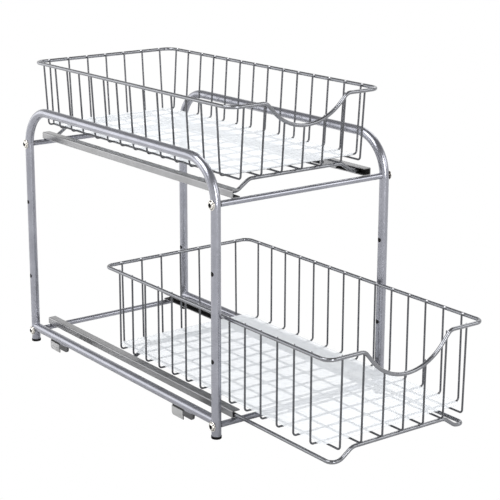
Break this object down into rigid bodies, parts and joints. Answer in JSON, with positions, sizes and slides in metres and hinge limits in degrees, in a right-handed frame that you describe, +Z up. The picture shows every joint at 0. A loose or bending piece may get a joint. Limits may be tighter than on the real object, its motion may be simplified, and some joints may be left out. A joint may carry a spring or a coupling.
{
  "type": "pull out cabinet basket",
  "caption": "Two-tier pull-out wire basket for a base cabinet: tube side frames, channels with sliding wire baskets, scooped fronts and frosted liners.",
  "frame": {"origin": "middle of the whole footprint on the floor, with the lower basket pulled out as in the picture", "axes": "+X to the right seen from the front, -Y out of the cabinet in the direction the baskets pull out, +Z up"},
  "size_m": [0.2924, 0.683, 0.4263],
  "materials": {
    "frame_coat": "satin silver-grey powder coat",
    "basket_coat": "satin silver-grey powder coat",
    "channel_coat": "satin silver-grey powder coat",
    "bolt_metal": "bright nickel plate",
    "foot_plastic": "black moulded plastic",
    "glide_plastic": "black extruded plastic",
    "clip_metal": "satin grey sheet",
    "pad_rubber": "matte black rubber",
    "liner_plastic": "frosted translucent sheet"
  },
  "bodies": {
    "frame": {"left_side_frame": "frame_coat", "right_side_frame": "frame_coat", "lower_front_rail": "frame_coat", "lower_rear_rail": "frame_coat", "upper_front_rail": "frame_coat", "upper_rear_rail": "frame_coat", "frame_bolts": "bolt_metal", "front_left_foot": "foot_plastic", "front_right_foot": "foot_plastic", "rear_left_foot": "foot_plastic", "rear_right_foot": "foot_plastic", "lower_left_channel": "channel_coat", "lower_right_channel": "channel_coat", "upper_left_channel": "channel_coat", "upper_right_channel": "channel_coat", "lower_left_glide": "glide_plastic", "lower_right_glide": "glide_plastic", "upper_left_glide": "glide_plastic", "upper_right_glide": "glide_plastic", "lower_left_stop": "channel_coat", "lower_right_stop": "channel_coat", "upper_left_stop": "channel_coat", "upper_right_stop": "channel_coat", "front_left_clip": "clip_metal", "front_right_clip": "clip_metal", "rear_left_clip": "clip_metal", "rear_right_clip": "clip_metal", "front_left_pad": "pad_rubber", "front_right_pad": "pad_rubber", "rear_left_pad": "pad_rubber", "rear_right_pad": "pad_rubber"},
    "upper_basket": {"upper_rim": "basket_coat", "upper_cross_wires": "basket_coat", "upper_long_wires": "basket_coat", "upper_runner_frame": "basket_coat", "upper_liner": "liner_plastic"},
    "lower_basket": {"lower_rim": "basket_coat", "lower_cross_wires": "basket_coat", "lower_long_wires": "basket_coat", "lower_runner_frame": "basket_coat", "lower_liner": "liner_plastic"}
  },
  "joints": [
    {"name": "upper_basket_slide", "type": "slide", "parent": "frame", "child": "upper_basket", "axis": [0, -1, 0], "range_m": [0, 0.365]},
    {"name": "lower_basket_slide", "type": "slide", "parent": "frame", "child": "lower_basket", "axis": [0, -1, 0], "range_m": [-0.194, 0.161]}
  ]
}
